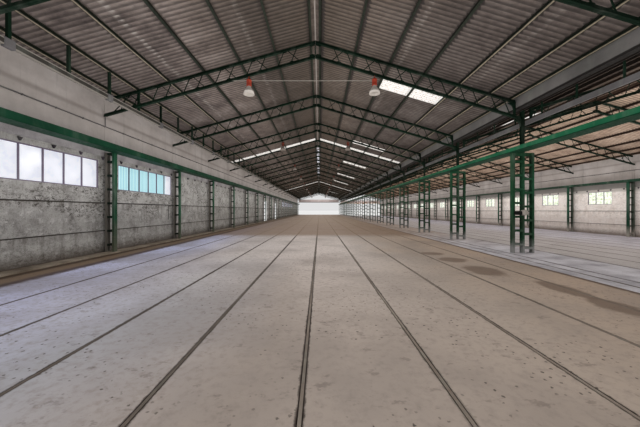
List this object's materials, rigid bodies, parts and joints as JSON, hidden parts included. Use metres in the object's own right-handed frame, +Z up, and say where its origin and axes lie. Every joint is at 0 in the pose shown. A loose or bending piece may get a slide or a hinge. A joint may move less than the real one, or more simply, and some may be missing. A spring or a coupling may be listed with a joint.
{
  "type": "two-nave factory hall, scale model 1:10",
  "caption": "Long two-nave factory hall on lattice columns and trusses, with corrugated roofs, wall windows and open ends, at 1:10.",
  "frame": {"origin": "on the ground, below the middle of the hall", "axes": "+Y along the hall, +X across it to the side nave, +Z up"},
  "size_m": [3.177, 11.04, 0.8593],
  "materials": {
    "floor_concrete": "worn concrete",
    "strip_concrete": "grey concrete with wear",
    "rail_steel": "rusty steel",
    "kerb_concrete": "brown concrete",
    "panel_concrete": "stained precast concrete",
    "wall_plaster": "pale plaster",
    "window_paint": "white paint",
    "window_glass": "clear",
    "column_green": "satin paint",
    "girder_green": "satin paint",
    "truss_green": "satin paint",
    "purlin_paint": "faded paint",
    "roof_sheet": "weathered fibre cement",
    "roof_light": "translucent sheet",
    "gutter_zinc": "dull grey",
    "valley_paint": "grey paint",
    "beam_paint": "pale grey paint",
    "gable_red": "red-brown paint",
    "gable_ochre": "ochre paint",
    "fascia_sheet": "pale paint",
    "lamp_red": "red enamel"
  },
  "bodies": {
    "root": {"main_floor": "floor_concrete", "side_floor": "floor_concrete", "centre_strip": "strip_concrete", "main_rails": "rail_steel", "side_rails": "rail_steel", "left_kerb": "kerb_concrete", "left_wall_panels": "panel_concrete", "left_upper_wall": "wall_plaster", "right_wall_panels": "panel_concrete", "right_upper_wall": "wall_plaster", "wall_lintels": "panel_concrete", "left_window_frames": "window_paint", "left_window_glass": "window_glass", "right_window_frames": "window_paint", "right_window_glass": "window_glass", "left_columns": "column_green", "centre_columns": "column_green", "right_columns": "column_green", "left_crane_girder": "girder_green", "centre_crane_girder": "girder_green", "right_crane_girder": "girder_green", "main_trusses_left": "truss_green", "main_trusses_right": "truss_green", "side_trusses_left": "truss_green", "side_trusses_right": "truss_green", "main_purlins_left": "purlin_paint", "main_purlins_right": "purlin_paint", "side_purlins_left": "purlin_paint", "side_purlins_right": "purlin_paint", "main_roof_left": "roof_sheet", "main_roof_right": "roof_sheet", "side_roof_left": "roof_sheet", "side_roof_right": "roof_sheet", "main_roof_lights": "roof_light", "side_roof_lights": "roof_light", "main_ridge_cap": "roof_light", "side_ridge_cap": "roof_light", "valley_gutter": "gutter_zinc", "valley_beam": "valley_paint", "hanging_beam": "beam_paint", "beam_posts": "truss_green", "main_gable_beams": "gable_red", "main_gable_fascias": "fascia_sheet", "side_gable_beams": "gable_ochre", "side_gable_fascias": "fascia_sheet", "lamps": "lamp_red"}
  },
  "joints": []
}
